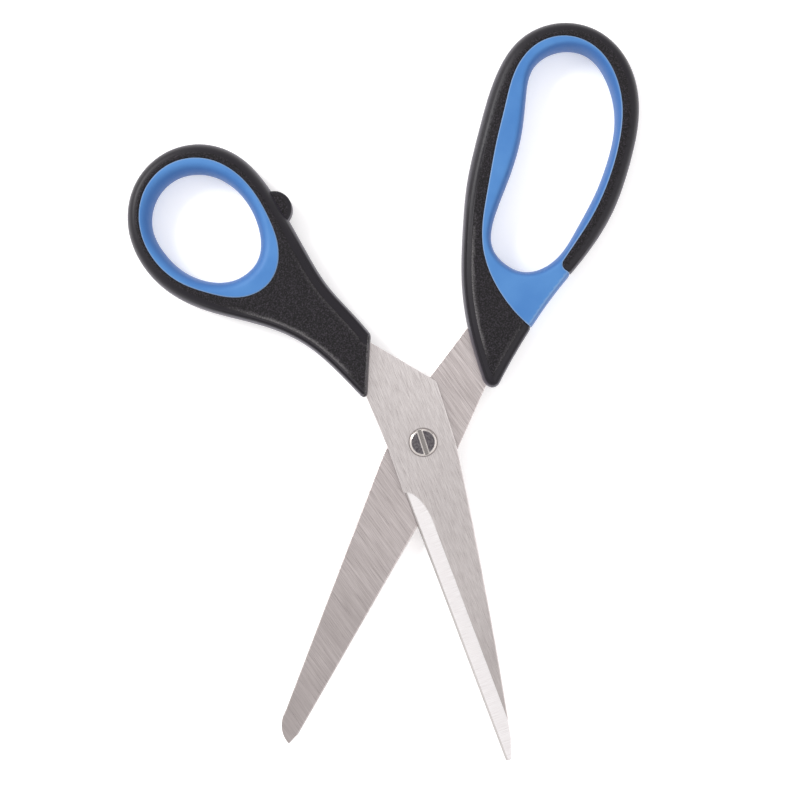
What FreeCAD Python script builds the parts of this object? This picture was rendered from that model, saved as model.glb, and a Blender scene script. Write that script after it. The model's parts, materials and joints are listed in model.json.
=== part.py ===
import FreeCAD, Part

# Office scissors, 210 mm class: two stamped steel blades on one shoulder screw, with hard black handles
# moulded round the tangs and soft blue grips moulded into the bows.
#
# Each half is drawn about the pivot axis as it lies when the scissors are closed: handles towards +Y,
# tips towards -Y, +Z up. The finger half keeps that place. The thumb half is then swung open about the
# pivot by REST_OPENING. The scissors lie on the plane Z = 0, and the pivot is placed so that the box of
# the open scissors is centred on the origin. All sizes are millimetres.

import math
import os

from FreeCAD import Vector

# --- driving dimensions ---------------------------------------------------------------------------
REST_OPENING = 39.3  # degrees between the halves at rest
PIVOT = Vector(21.6, -16.05, 0.0)

HANDLE_THICKNESS = 10.0
MID_HEIGHT = HANDLE_THICKNESS / 2
OUTER_ROUND = 1.9  # rounding of the outer edges of the handles
FINGER_NOSE_RADIUS = 2.1  # corners of the nose, where the blade comes out

BLADE_THICKNESS = 1.8
BLADE_GAP = 0.25  # kept between the blades by the washer
WASHER_CLEARANCE = 0.05
GRIND_WIDTH = 4.4  # the main bevel, measured square to the edge
EDGE_LAND = 0.40  # steel left under the main bevel at the edge
HONE_WIDTH = 0.5  # the fine, steep bevel that makes the edge sharp
GRIND_RUNOUT = 10.0  # length over which the main bevel comes up to full width at the heel

PANEL_INSET = 2.0  # from the outline to the raised, textured panel
PANEL_RISE = 0.4  # the panels stand this far above the smooth rim
PANEL_ROUND = 0.25
PANEL_CORNER = 1.0
THUMB_HOLE_ROUND = 2.6  # rounding of the soft grip towards the finger hole
FINGER_HOLE_ROUND = 1.2

HEAD_RADIUS = 3.7
HEAD_HEIGHT = 1.1
HEAD_CLEARANCE = 0.05  # between the head and the front blade
HEAD_CHAMFER = 0.45
SLOT_WIDTH = 1.3
SLOT_DEPTH = 0.7
SLOT_TURN = 42.0  # degrees from +Y to the slot, where the screw came to rest
SHOULDER_RADIUS = 2.5
SHOULDER_CLEARANCE = 0.05  # running fit in the front blade
THREAD_RADIUS = 2.0
NUT_ACROSS_FLATS = 7.0
NUT_THICKNESS = 2.0
TAIL_LENGTH = 0.4  # screw end beyond the nut
WASHER_RADIUS = 6.0

STOP_RADIUS = 4.8  # the half-round stop moulded on the thumb handle
STOP_THICKNESS = 5.6
STOP_ROUND = 0.8
STOP_CENTRE = (-22.3, 71.6)

# --- heights of the stack at the pivot --------------------------------------------------------------
REAR_INNER = MID_HEIGHT - BLADE_GAP / 2
REAR_OUTER = REAR_INNER - BLADE_THICKNESS
FRONT_INNER = MID_HEIGHT + BLADE_GAP / 2
FRONT_OUTER = FRONT_INNER + BLADE_THICKNESS
HEAD_BOTTOM = FRONT_OUTER + HEAD_CLEARANCE

# --- outlines, seen from above, about the pivot, with the scissors closed -----------------------------
FINGER_BODY = [
    (12.45, 20.1), (12.5, 24.8), (13.1, 32.0), (14.3, 41.2), (16.3, 51.5), (19.6, 64.0), (21.6, 78.3),
    (20.4, 92.4), (16.5, 106.8), (9.6, 116.2), (-1.4, 121.2), (-13.2, 118.7), (-20.9, 110.0),
    (-22.6, 99.5), (-20.8, 83.9), (-17.7, 68.6), (-13.6, 56.7), (-7.7, 43.0), (-1.3, 32.9), (4.0, 26.4),
    (8.35, 21.6),
]
FINGER_PANEL_NOSE = [(10.6, 23.6), (7.4, 25.6)]
FINGER_HOLE = [
    (2.1, 53.0), (8.3, 54.5), (12.6, 60.0), (14.5, 70.0), (15.2, 80.7), (14.7, 89.5), (12.3, 100.2),
    (5.3, 110.2), (-2.2, 114.1), (-9.8, 111.8), (-14.1, 105.0), (-12.7, 96.9), (-9.7, 87.4),
    (-7.9, 75.3), (-7.3, 64.8), (-4.6, 56.2),
]
# The finger grip lines the bow, and below it runs out to the flank of the handle.
FINGER_GRIP_LINING = [
    (14.9, 40.0), (11.0, 41.0), (3.7, 44.5), (-2.5, 49.2), (-7.8, 56.2), (-10.7, 64.0), (-12.7, 71.9),
    (-15.0, 81.3), (-17.0, 92.0), (-18.3, 102.1), (-15.6, 110.9), (-8.5, 116.0), (-0.5, 115.9),
    (6.9, 111.3), (12.3, 103.8), (15.3, 94.6), (16.8, 83.5), (16.6, 73.6), (15.1, 64.0), (14.3, 59.4),
]
FINGER_GRIP_STEP = [(15.2, 58.1), (18.5, 57.6)]
FINGER_GRIP_OUTSIDE = [(30.0, 57.6), (30.0, 39.0)]  # well clear of the handle, which cuts it off

THUMB_BODY = [
    (-6.0, 32.0), (-9.9, 40.0), (-13.9, 48.0), (-16.8, 57.5), (-19.3, 67.5), (-22.6, 78.5),
    (-28.0, 88.2), (-36.5, 93.8), (-47.0, 94.2), (-56.5, 88.8), (-61.7, 79.0), (-61.9, 70.0),
    (-57.8, 59.8), (-49.5, 51.3), (-40.0, 45.5), (-30.5, 39.7), (-23.2, 33.0), (-17.1, 23.9),
    (-12.6, 15.8),
]
THUMB_NOSE = [(-11.2, 16.1)]
THUMB_PANEL_NOSE = [(-8.0, 32.2), (-11.4, 17.8)]
THUMB_HOLE = [
    (-27.9, 67.6), (-28.9, 74.6), (-32.0, 80.7), (-37.7, 85.4), (-45.5, 86.6), (-52.7, 82.5),
    (-55.8, 75.1), (-54.3, 67.9), (-50.8, 62.0), (-45.2, 57.6), (-37.5, 55.9), (-30.1, 59.8),
]
THUMB_GRIP = [
    (-23.8, 65.9), (-25.5, 74.6), (-29.1, 82.5), (-36.1, 88.9), (-46.3, 90.2), (-55.0, 84.7),
    (-58.5, 75.3), (-57.0, 66.3), (-52.4, 59.2), (-45.5, 54.1), (-36.6, 50.5), (-30.1, 51.5),
    (-25.7, 55.6),
]

# Blades are drawn outer face up, with the cutting edge towards -X.
FRONT_EDGE = [(-8.35, -12.0), (-0.95, -89.4)]  # heel to tip
FRONT_BLADE = [
    (0.5, -89.4), (-0.95, -89.4), (-8.35, -12.0), (-8.7, -11.4), (-9.6, 1.0), (-11.7, 16.6),
    (-14.5, 22.0), (-23.0, 41.0), (-18.0, 46.5), (-6.4, 29.6), (7.8, 15.0), (8.5, -3.0),
]
FRONT_SPINE_ARC = [(8.5, -3.0), (6.3, -37.2), (2.0, -83.5)]
FRONT_CORNERS = {(7.8, 15.0): 2.0, (-23.0, 41.0): 2.5, (-18.0, 46.5): 2.5, (0.5, -89.4): 0.6}
FRONT_ANCHORS = [(-13.5, 31.0), (-18.5, 38.5)]

REAR_EDGE = [(-8.75, -14.0), (-1.45, -86.3)]
REAR_BLADE = [
    (-0.2, -89.9), (-1.45, -86.3), (-8.75, -14.0), (-9.1, -13.4), (-9.4, 1.0), (-9.4, 20.0),
    (-9.6, 26.0), (-9.4, 39.0), (-2.0, 42.5), (2.0, 32.5), (8.3, 5.5), (8.5, -8.0), (4.3, -82.0),
]
REAR_TIP_ARC = [(4.3, -82.0), (2.7, -87.7), (-0.2, -89.9)]
REAR_CORNERS = {(8.3, 5.5): 30.0, (-9.4, 39.0): 2.0, (-2.0, 42.5): 2.5}
REAR_ANCHORS = [(-5.4, 28.5), (-5.4, 36.0)]
ANCHOR_RADIUS = 1.6  # holes in the tangs, filled by the handle plastic


# --- drawing helpers ------------------------------------------------------------------------------
def flat(points):
    return [Vector(x, y, 0) for x, y in points]


def curve(points, closed=False):
    """An edge that runs smoothly through the points."""
    spline = Part.BSplineCurve()
    spline.interpolate(flat(points), PeriodicFlag=closed)
    return spline.toShape()


def arc(points):
    return Part.Arc(*flat(points)).toShape()


def straight(a, b):
    return Part.makeLine(Vector(*a, 0), Vector(*b, 0))


def slab(edges, bottom, top):
    """The solid between two heights inside an outline made of edges."""
    face = Part.Face(Part.Wire(edges))
    face.translate(Vector(0, 0, bottom))
    return face.extrude(Vector(0, 0, top - bottom))


def inset(points, distance):
    """Points of a closed, anticlockwise outline, each moved inwards by distance."""
    moved = []
    for i, (x, y) in enumerate(points):
        before, after = points[i - 1], points[(i + 1) % len(points)]
        along = Vector(after[0] - before[0], after[1] - before[1], 0).normalize()
        moved.append((x - along.y * distance, y + along.x * distance))
    return moved


def edges_at(shape, height):
    """The edges of a shape that lie wholly at one height."""
    return [e for e in shape.Edges if all(abs(v.Z - height) < 1e-3 for v in e.Vertexes)
            and abs(e.BoundBox.ZLength) < 1e-3]


def round_corners(shape, corners):
    """Rounds upright edges, given as {(x, y): radius}."""
    for (x, y), radius in corners.items():
        upright = [e for e in shape.Edges if len(e.Vertexes) == 2
                   and all(math.hypot(v.X - x, v.Y - y) < 1e-3 for v in e.Vertexes)]
        shape = shape.makeFillet(radius, upright)
    return shape


def cylinder(radius, bottom, top, x=0.0, y=0.0):
    return Part.makeCylinder(radius, top - bottom, Vector(x, y, bottom))


def swing_open(shape):
    """Turns a piece of the thumb half from closed to its place at rest."""
    shape.rotate(Vector(0, 0, 0), Vector(0, 0, 1), REST_OPENING)
    return shape


# --- blades ---------------------------------------------------------------------------------------
def grind(edge, width, low, high, runout):
    """What a wheel takes off along a cutting edge: from width inside the edge at height high, down to
    height low at the edge. At the heel the cut starts in an elliptical run-out."""
    heel, tip = (Vector(*p, 0) for p in edge)
    along = (tip - heel).normalize()
    inward = Vector(-along.y, along.x, 0)
    past_tip = (tip - heel).Length + 5
    outside = 3.0
    slope = (high - low) / width
    section = Part.makePolygon([
        inward * width + Vector(0, 0, high),
        inward * -outside + Vector(0, 0, low - slope * outside),
        inward * -outside + Vector(0, 0, high + 1),
        inward * width + Vector(0, 0, high + 1),
        inward * width + Vector(0, 0, high),
    ])
    wedge = Part.Face(section).extrude(along * past_tip)
    wedge.translate(heel)
    ellipse = Part.Ellipse(Vector(0, 0, 0), max(runout, width), min(runout, width))
    quarter = Part.Face(Part.Wire(ellipse.toShape())).extrude(Vector(0, 0, high + 3))
    quarter.rotate(Vector(0, 0, 0), Vector(0, 0, 1), math.degrees(math.atan2(along.y, along.x)))
    quarter.translate(heel + along * runout - Vector(0, 0, 1))
    rest = Part.makeBox(past_tip, 2 * (width + outside), high + 3, Vector(0, -width - outside, 0))
    rest.rotate(Vector(0, 0, 0), Vector(0, 0, 1), math.degrees(math.atan2(along.y, along.x)))
    rest.translate(heel + along * runout - Vector(0, 0, 1))
    return wedge.common(quarter.fuse(rest))


def blade(edges, corners, cutting_edge, anchors, hole_radius):
    """A blade lying outer face up with its inner face on Z = 0."""
    body = round_corners(slab(edges, 0, BLADE_THICKNESS), corners)
    body = body.cut(grind(cutting_edge, GRIND_WIDTH, EDGE_LAND, BLADE_THICKNESS, GRIND_RUNOUT))
    body = body.cut(grind(cutting_edge, HONE_WIDTH, 0.03, EDGE_LAND * 1.15, HONE_WIDTH * 2))
    body = body.cut(cylinder(hole_radius, -1, BLADE_THICKNESS + 1))
    for x, y in anchors:
        body = body.cut(cylinder(ANCHOR_RADIUS, -1, BLADE_THICKNESS + 1, x, y))
    return body


def front_blade():
    edges = [straight(a, b) for a, b in zip(FRONT_BLADE, FRONT_BLADE[1:])]
    edges.append(arc(FRONT_SPINE_ARC))
    edges.append(straight(FRONT_SPINE_ARC[-1], FRONT_BLADE[0]))
    shape = blade(edges, FRONT_CORNERS, FRONT_EDGE, FRONT_ANCHORS, SHOULDER_RADIUS + SHOULDER_CLEARANCE)
    shape.translate(Vector(0, 0, FRONT_INNER))
    return shape


def rear_blade():
    edges = [straight(a, b) for a, b in zip(REAR_BLADE, REAR_BLADE[1:])]
    edges.append(arc(REAR_TIP_ARC))
    shape = blade(edges, REAR_CORNERS, REAR_EDGE, REAR_ANCHORS, THREAD_RADIUS)
    shape.rotate(Vector(0, 0, 0), Vector(0, 1, 0), 180)
    shape.translate(Vector(0, 0, REAR_INNER))
    return shape


# --- pivot ----------------------------------------------------------------------------------------
def pivot_screw():
    """Slotted shoulder screw: the front blade turns on the shoulder, which is seated on the rear blade."""
    top = HEAD_BOTTOM + HEAD_HEIGHT
    head = cylinder(HEAD_RADIUS, HEAD_BOTTOM, top)
    head = head.makeChamfer(HEAD_CHAMFER, edges_at(head, top)[:1])
    slot = Part.makeBox(SLOT_WIDTH, 4 * HEAD_RADIUS, SLOT_DEPTH + 1,
                        Vector(-SLOT_WIDTH / 2, -2 * HEAD_RADIUS, top - SLOT_DEPTH))
    slot.rotate(Vector(0, 0, 0), Vector(0, 0, 1), SLOT_TURN)
    shoulder = cylinder(SHOULDER_RADIUS, REAR_INNER, HEAD_BOTTOM)
    thread = cylinder(THREAD_RADIUS, REAR_OUTER - NUT_THICKNESS - TAIL_LENGTH, REAR_INNER)
    thread = thread.makeChamfer(0.3, edges_at(thread, REAR_OUTER - NUT_THICKNESS - TAIL_LENGTH)[:1])
    return head.cut(slot).fuse([shoulder, thread]).removeSplitter()


def blade_washer():
    ring = cylinder(WASHER_RADIUS, REAR_INNER, FRONT_INNER - WASHER_CLEARANCE)
    return ring.cut(cylinder(SHOULDER_RADIUS, REAR_INNER - 1, FRONT_INNER + 1))


def lock_nut():
    across_corners = NUT_ACROSS_FLATS / math.cos(math.radians(30))
    corners = [Vector(across_corners / 2 * math.cos(math.radians(60 * k)),
                      across_corners / 2 * math.sin(math.radians(60 * k)), 0) for k in range(7)]
    bottom = REAR_OUTER - NUT_THICKNESS
    hexagon = Part.Face(Part.makePolygon(corners)).extrude(Vector(0, 0, NUT_THICKNESS))
    hexagon.translate(Vector(0, 0, bottom))
    # The corners are turned down by a cone, as on any hexagon nut.
    cone = Part.makeCone(NUT_ACROSS_FLATS / 2, NUT_ACROSS_FLATS / 2 + NUT_THICKNESS * 1.7,
                         NUT_THICKNESS, Vector(0, 0, bottom))
    return hexagon.common(cone).cut(cylinder(THREAD_RADIUS, bottom - 1, REAR_OUTER + 1))


# --- handles --------------------------------------------------------------------------------------
def outline_of(points, nose=()):
    """The outline of a handle: a curve round it, and straight lines round the nose, where the blade comes
    out."""
    corners = [points[-1], *nose, points[0]]
    return [curve(points)] + [straight(a, b) for a, b in zip(corners, corners[1:])]


def finger_body(bottom, top):
    """The finger handle's outline as a solid, with a round nose and rounded edges."""
    body = slab(outline_of(FINGER_BODY), bottom, top)
    body = round_corners(body, {(v.X, v.Y): FINGER_NOSE_RADIUS for v in body.Vertexes})
    return body.makeFillet(OUTER_ROUND, edges_at(body, bottom) + edges_at(body, top))


def thumb_body(bottom, top):
    """The thumb handle's outline as a solid, with rounded edges and a square nose."""
    body = slab(outline_of(THUMB_BODY, THUMB_NOSE), bottom, top)
    level = edges_at(body, bottom) + edges_at(body, top)
    return body.makeFillet(OUTER_ROUND, [e for e in level if e.Curve.TypeId != "Part::GeomLine"])


def panel(points, nose):
    """The raised, textured faces above and below, as one slab through the whole handle. Its outline keeps
    PANEL_INSET from the handle's own, save at the nose, where it runs between two given corners."""
    first, last = nose
    block = slab(outline_of([first] + inset(points, PANEL_INSET)[1:-1] + [last]), 0, HANDLE_THICKNESS)
    block = round_corners(block, {(v.X, v.Y): PANEL_CORNER for v in block.Vertexes})
    return block.makeFillet(PANEL_ROUND, edges_at(block, 0) + edges_at(block, HANDLE_THICKNESS))


def black_part(body_between, panels, region, tang):
    """The rounded body with its panels, less the soft region and the tang of the blade."""
    body = body_between(PANEL_RISE, HANDLE_THICKNESS - PANEL_RISE)
    return body.fuse(panels).cut(region).cut(tang)


def soft_part(body_between, hole, region, hole_round):
    """What of the rounded body lies in the soft region, less the hole, whose rims are rounded too."""
    block = Part.makeBox(200, 200, HANDLE_THICKNESS, Vector(-100, -50, 0))
    block = block.cut(slab([curve(hole, closed=True)], 0, HANDLE_THICKNESS))
    rims = [e for e in edges_at(block, 0) + edges_at(block, HANDLE_THICKNESS) if e.isClosed()]
    block = block.makeFillet(hole_round, rims)
    return body_between(0, HANDLE_THICKNESS).common(region).common(block)


def finger_grip_region():
    """The part of the finger handle that is soft: the lining of the bow, and the flank below it."""
    flank = [FINGER_GRIP_LINING[-1]] + FINGER_GRIP_STEP + FINGER_GRIP_OUTSIDE + [FINGER_GRIP_LINING[0]]
    edges = [curve(FINGER_GRIP_LINING)] + [straight(a, b) for a, b in zip(flank, flank[1:])]
    return slab(edges, -1, HANDLE_THICKNESS + 1)


def finger_handle():
    panels = panel(FINGER_BODY, FINGER_PANEL_NOSE)
    return black_part(finger_body, panels, finger_grip_region(), rear_blade())


def finger_grip():
    return soft_part(finger_body, FINGER_HOLE, finger_grip_region(), FINGER_HOLE_ROUND)


def thumb_grip_region():
    return slab([curve(THUMB_GRIP, closed=True)], -1, HANDLE_THICKNESS + 1)


def closing_stop():
    low = MID_HEIGHT - STOP_THICKNESS / 2
    disc = cylinder(STOP_RADIUS, low, low + STOP_THICKNESS, *STOP_CENTRE)
    return disc.makeFillet(STOP_ROUND, edges_at(disc, low) + edges_at(disc, low + STOP_THICKNESS))


def thumb_handle():
    region = thumb_grip_region()
    body = black_part(thumb_body, panel(THUMB_BODY, THUMB_PANEL_NOSE), region, front_blade())
    return body.fuse(closing_stop().cut(region))


def thumb_grip():
    return soft_part(thumb_body, THUMB_HOLE, thumb_grip_region(), THUMB_HOLE_ROUND)


# --- the assembly -----------------------------------------------------------------------------------
def pieces():
    finger_half = {
        "rear_blade": rear_blade(),
        "pivot_screw": pivot_screw(),
        "lock_nut": lock_nut(),
        "blade_washer": blade_washer(),
        "finger_handle": finger_handle(),
        "finger_grip": finger_grip(),
    }
    thumb_half = {
        "front_blade": swing_open(front_blade()),
        "thumb_handle": swing_open(thumb_handle()),
        "thumb_grip": swing_open(thumb_grip()),
    }
    return {**finger_half, **thumb_half}


def main():
    os.makedirs("parts", exist_ok=True)
    for name, shape in pieces().items():
        shape.translate(PIVOT)
        solid = shape.Solids[0]
        if len(shape.Solids) != 1 or not solid.isValid():
            raise ValueError(f"{name} is not one sound solid")
        solid.exportStep(f"parts/{name}.step")
        box = solid.BoundBox
        print(f"{name}: {solid.Volume:.1f} mm3, X {box.XMin:.2f} to {box.XMax:.2f}, "
              f"Y {box.YMin:.2f} to {box.YMax:.2f}, Z {box.ZMin:.2f} to {box.ZMax:.2f}")


main()
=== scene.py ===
# %% [markdown]
# # Office scissors, lying open
# The scissors come in as a frame of nine plain solids: two blades, a screw, a nut, a washer, and for each
# handle a black body and a blue lining. The steel pieces have their true shape already, so they keep it and
# get their finish here. The four moulded pieces are skinned again, because a moulding has soft, changing
# edges that a plain solid lacks.

# %% Load the frame
import json
import math

import bmesh
import bpy
import numpy as np
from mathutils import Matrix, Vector, geometry, kdtree


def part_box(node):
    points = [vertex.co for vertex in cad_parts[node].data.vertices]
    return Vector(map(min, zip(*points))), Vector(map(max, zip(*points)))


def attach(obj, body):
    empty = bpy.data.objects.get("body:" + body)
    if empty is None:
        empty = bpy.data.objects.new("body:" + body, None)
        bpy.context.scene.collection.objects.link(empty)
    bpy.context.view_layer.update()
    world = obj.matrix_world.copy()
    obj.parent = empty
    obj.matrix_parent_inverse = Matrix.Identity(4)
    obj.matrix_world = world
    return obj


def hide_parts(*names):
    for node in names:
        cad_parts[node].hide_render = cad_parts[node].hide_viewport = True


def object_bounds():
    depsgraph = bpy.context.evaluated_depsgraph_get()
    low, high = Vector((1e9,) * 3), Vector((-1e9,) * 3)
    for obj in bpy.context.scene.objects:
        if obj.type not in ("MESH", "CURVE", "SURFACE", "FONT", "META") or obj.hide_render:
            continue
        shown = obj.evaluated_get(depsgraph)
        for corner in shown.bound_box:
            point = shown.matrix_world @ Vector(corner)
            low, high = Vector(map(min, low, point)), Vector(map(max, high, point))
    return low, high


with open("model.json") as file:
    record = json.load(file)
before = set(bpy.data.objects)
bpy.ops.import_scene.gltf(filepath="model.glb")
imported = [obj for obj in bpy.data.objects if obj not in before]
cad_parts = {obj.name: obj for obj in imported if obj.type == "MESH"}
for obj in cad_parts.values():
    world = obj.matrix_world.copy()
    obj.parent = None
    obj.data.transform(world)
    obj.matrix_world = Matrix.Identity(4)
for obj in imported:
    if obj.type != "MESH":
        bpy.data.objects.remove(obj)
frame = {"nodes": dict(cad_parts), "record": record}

CAD_BOX = [list(corner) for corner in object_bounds()]
PIVOT = Vector(frame["record"]["behaviour"]["joints"][0]["pos_m"])
SCENE = bpy.context.scene
print("pivot at", [round(v * 1000, 2) for v in PIVOT], "mm")

# %% [markdown]
# ## Millimetres and colours
# The frame is in metres, but a moulding is thought of in millimetres, so the shapes are worked out in
# millimetres and turned to metres once, when a mesh is made. Colours are picked as sRGB hex, the way a
# colour chart gives them, and shaders need them linear.

# %% Units and colours
MM = 0.001


def linear(hex_colour):
    """An sRGB hex colour as linear red, green, blue and alpha."""
    parts = [int(hex_colour[i:i + 2], 16) / 255 for i in (1, 3, 5)]
    return [p / 12.92 if p <= 0.04045 else ((p + 0.055) / 1.055) ** 2.4 for p in parts] + [1.0]


print("linear blue:", [round(v, 3) for v in linear("#4A86D2")])

# %% [markdown]
# ## Reading the outlines off the frame
# The moulded pieces must keep the outlines that the frame gives them, or the holes and the stop would move.
# They could be typed in again, but cutting each solid with a level plane gives them exactly. The cut is made
# in a scratch mesh, so the frame's own pieces stay as they are. The corners that the solid's facets leave on
# the cut are smoothed away, by averaging each point with its neighbours.

# %% Cut a solid to get its outlines
STEP = 0.3  # mm between outline points
FEWEST = 8  # points that a loop needs to be an outline and not a speck


def level_cut(node, height):
    """Loops of points, in mm, where the plane at this height cuts a node."""
    scratch = bmesh.new()
    scratch.from_mesh(frame["nodes"][node].data)
    everything = scratch.verts[:] + scratch.edges[:] + scratch.faces[:]
    bmesh.ops.bisect_plane(scratch, geom=everything, dist=1e-8, plane_co=(0, 0, height * MM),
                           plane_no=(0, 0, 1), clear_inner=True, clear_outer=True)
    bmesh.ops.remove_doubles(scratch, verts=scratch.verts[:], dist=1e-6)
    loops, left = [], dict.fromkeys(scratch.verts)
    while left:
        vert, walk = next(iter(left)), []
        while vert:
            walk.append(vert.co.xy.to_tuple())
            del left[vert]
            vert = next((e.other_vert(vert) for e in vert.link_edges if e.other_vert(vert) in left), None)
        loops.append(np.array(walk) / MM)
    scratch.free()
    return loops


def even(loop, step):
    """The same closed loop with evenly spaced points."""
    closed = np.vstack([loop, loop[:1]])
    along = np.concatenate([[0], np.cumsum(np.linalg.norm(np.diff(closed, axis=0), axis=1))])
    count = max(FEWEST, int(along[-1] / step))
    at = np.arange(count) * along[-1] / count
    return np.column_stack([np.interp(at, along, closed[:, i]) for i in (0, 1)])


def smoothed(loop):
    """The loop with each point moved six times halfway to the middle of its neighbours."""
    for _ in range(6):
        loop = loop * 0.5 + (np.roll(loop, 1, axis=0) + np.roll(loop, -1, axis=0)) * 0.25
    return loop


def area(loop):
    """The area within a loop, negative when the loop runs clockwise."""
    x, y = loop[:, 0], loop[:, 1]
    return 0.5 * np.sum(x * np.roll(y, -1) - np.roll(x, -1) * y)


def outlines(node, height):
    """Smooth loops, largest first: the outside runs anticlockwise and the holes clockwise."""
    loops = [smoothed(even(loop, STEP)) for loop in level_cut(node, height) if len(loop) > FEWEST]
    loops.sort(key=lambda loop: -abs(area(loop)))
    return [loop if (area(loop) > 0) == (i == 0) else loop[::-1] for i, loop in enumerate(loops)]


MIDDLE = PIVOT.z / MM
ABOVE_STOP = MIDDLE + 2.9  # over the closing stop, so that the cut shows the handle alone
finger_black = outlines("finger_handle", MIDDLE)
finger_blue = outlines("finger_grip", MIDDLE)
thumb_black = outlines("thumb_handle", ABOVE_STOP)
thumb_blue = outlines("thumb_grip", MIDDLE)
for title, loops in (("finger black", finger_black), ("finger blue", finger_blue),
                     ("thumb black", thumb_black), ("thumb blue", thumb_blue)):
    print(title, "loops:", [len(loop) for loop in loops])

# %% [markdown]
# ## Seams and free edges
# Where the black and the blue touch there is a moulded seam, and everywhere else an edge is free and
# rounded. A point of one outline is on the seam if the other outline passes close by, so the distance from
# points to a line is the one measurement that everything else here is built on.

# %% Distance to a line, and what is seam
TOUCHING = 0.2  # mm


def distance_to(points, line):
    """How far each point is from a line of closely spaced points, and the nearest point's number."""
    tree = kdtree.KDTree(len(line))
    for i, (x, y) in enumerate(line):
        tree.insert((x, y, 0), i)
    tree.balance()
    nearest = np.array([tree.find((x, y, 0))[1] for x, y in points])
    foot = line[nearest]
    best = np.linalg.norm(points - foot, axis=1)
    for way in (-1, 1):
        run = line[(nearest + way) % len(line)] - foot
        length = np.linalg.norm(run, axis=1)
        share = np.clip(np.sum((points - foot) * run, axis=1) / np.maximum(length, 1e-9) ** 2, 0, 1)
        gap = np.linalg.norm(points - foot - run * share[:, None], axis=1)
        best = np.where(length < 3 * STEP, np.minimum(best, gap), best)
    return best, nearest


def on_seam(loop, other):
    """True for the points of a loop that lie on another loop."""
    return distance_to(loop, other)[0] < TOUCHING


finger_seam = on_seam(finger_black[0], finger_blue[0])
finger_flank = ~on_seam(finger_blue[0], finger_black[0])
print("finger seam points:", finger_seam.sum(), "flank points:", finger_flank.sum())

# %% [markdown]
# ## The skin of a moulding
# A moulded handle is a flat shape with a rounded edge all round it, so its height depends only on how far in
# from each edge a point is. That makes a height map, and the mesh could be a plain grid pushed up by it, but
# a grid leaves steps along a curved outline. Here rows of points follow every edge, close together where
# the surface turns quickly, and loose points fill the middle. Blender's own triangulation joins them.

# %% The height of a moulding
HALF = (CAD_BOX[1][2] - CAD_BOX[0][2]) / 2 / MM  # from the middle to the flat of a panel
RIM_DROP = 0.32  # the smooth rim lies lower than the panel
BLUE_DROP = 0.12
SEAM_DEPTH = 0.18
SEAM_WIDTH = 0.30  # of half the groove


def ease(value, low, high):
    """0 below low, 1 above high, and a smooth S between them."""
    t = np.clip((value - low) / (high - low), 0, 1)
    return t * t * (3 - 2 * t)


def dome(distance, width):
    """A quarter of an ellipse: 0 at an edge, 1 from width inwards."""
    t = np.clip(distance / width, 0, 1)
    return np.sqrt(np.clip(1 - (1 - t) ** 2, 0, 1))


def from_pivot(points):
    return np.linalg.norm(points - np.array(PIVOT.xy) / MM, axis=1)


def grooved(height, points, seam):
    """The height less the groove along the seam, which only the top and not the side has."""
    groove = SEAM_DEPTH * (1 - ease(distance_to(points, seam)[0], 0, SEAM_WIDTH))
    return np.maximum(height - groove * (height > 1), 0)


print("height 1 mm in from a 2.6 mm side:", round(float(HALF * dome(1.0, 2.6)), 2), "mm")

# %% Rows of points along an edge
TURNS = [math.radians(a) for a in (8, 17, 27, 38, 50, 63, 76, 90)]
CLOSEST = 0.07  # mm between two points of a skin


def inward(loop):
    """Unit normals along a loop that point into the moulding."""
    along = np.roll(loop, -2, axis=0) - np.roll(loop, 2, axis=0)
    along /= np.linalg.norm(along, axis=1)[:, None]
    return np.column_stack([-along[:, 1], along[:, 0]])


def inside(points, loops):
    """True for the points that are within the outer loop and out of the holes."""
    crossings = np.zeros(len(points), dtype=int)
    for loop in loops:
        for (x0, y0), (x1, y1) in zip(loop, np.roll(loop, -1, axis=0)):
            if y0 != y1:
                spans = (points[:, 1] > min(y0, y1)) & (points[:, 1] <= max(y0, y1))
                at = x0 + (points[:, 1] - y0) * (x1 - x0) / (y1 - y0)
                crossings += spans & (points[:, 0] < at)
    return crossings % 2 == 1


def across(width):
    """Depths that are evenly turned round a quarter of an ellipse."""
    return [width * (1 - math.cos(turn)) for turn in TURNS]


def rows(loop, picked, depths):
    """Rows of points at these depths in from the picked part of a loop."""
    found = []
    normal = inward(loop)
    for depth in depths:
        depth = np.broadcast_to(depth, len(loop))
        row = (loop + normal * depth[:, None])[picked]
        away = distance_to(row, loop)[0]
        found.append(row[away > depth[picked] * 0.985 - 0.002])
    return np.vstack(found)


def grid(loops, step):
    """Loose points in a pattern of triangles, between the outline and the holes."""
    low, high = loops[0].min(axis=0), loops[0].max(axis=0)
    xs, ys = np.arange(low[0], high[0], step), np.arange(low[1], high[1], step * 0.866)
    x, y = np.meshgrid(xs, ys)
    x = x + (np.arange(len(ys)) % 2)[:, None] * step / 2
    points = np.column_stack([x.ravel(), y.ravel()])
    return points[inside(points, loops)]


def thinned(points, fixed):
    """Drops each point that comes too close to a fixed one or to one already kept."""
    cells, kept = {}, []
    for number, (x, y) in enumerate(np.vstack([fixed, points])):
        cell = (int(x // CLOSEST), int(y // CLOSEST))
        around = [(cell[0] + i, cell[1] + j) for i in (-1, 0, 1) for j in (-1, 0, 1)]
        close = any(math.hypot(x - a, y - b) < CLOSEST for near in around for a, b in cells.get(near, ()))
        if number >= len(fixed) and close:
            continue
        cells.setdefault(cell, []).append((x, y))
        if number >= len(fixed):
            kept.append((x, y))
    return np.array(kept)


print("rows across a 1 mm round, mm in:", [round(depth, 2) for depth in across(1.0)])

# %% [markdown]
# ## From points to a closed skin
# The triangles are made flat, between the outline and the holes, and then used twice: once raised to the
# height above the middle, and once, mirrored, below it. An edge that only one triangle uses is on an
# outline, and gets a wall if the skin has height there. The wall's edges are left sharp, and all else is
# shaded smooth.

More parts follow.
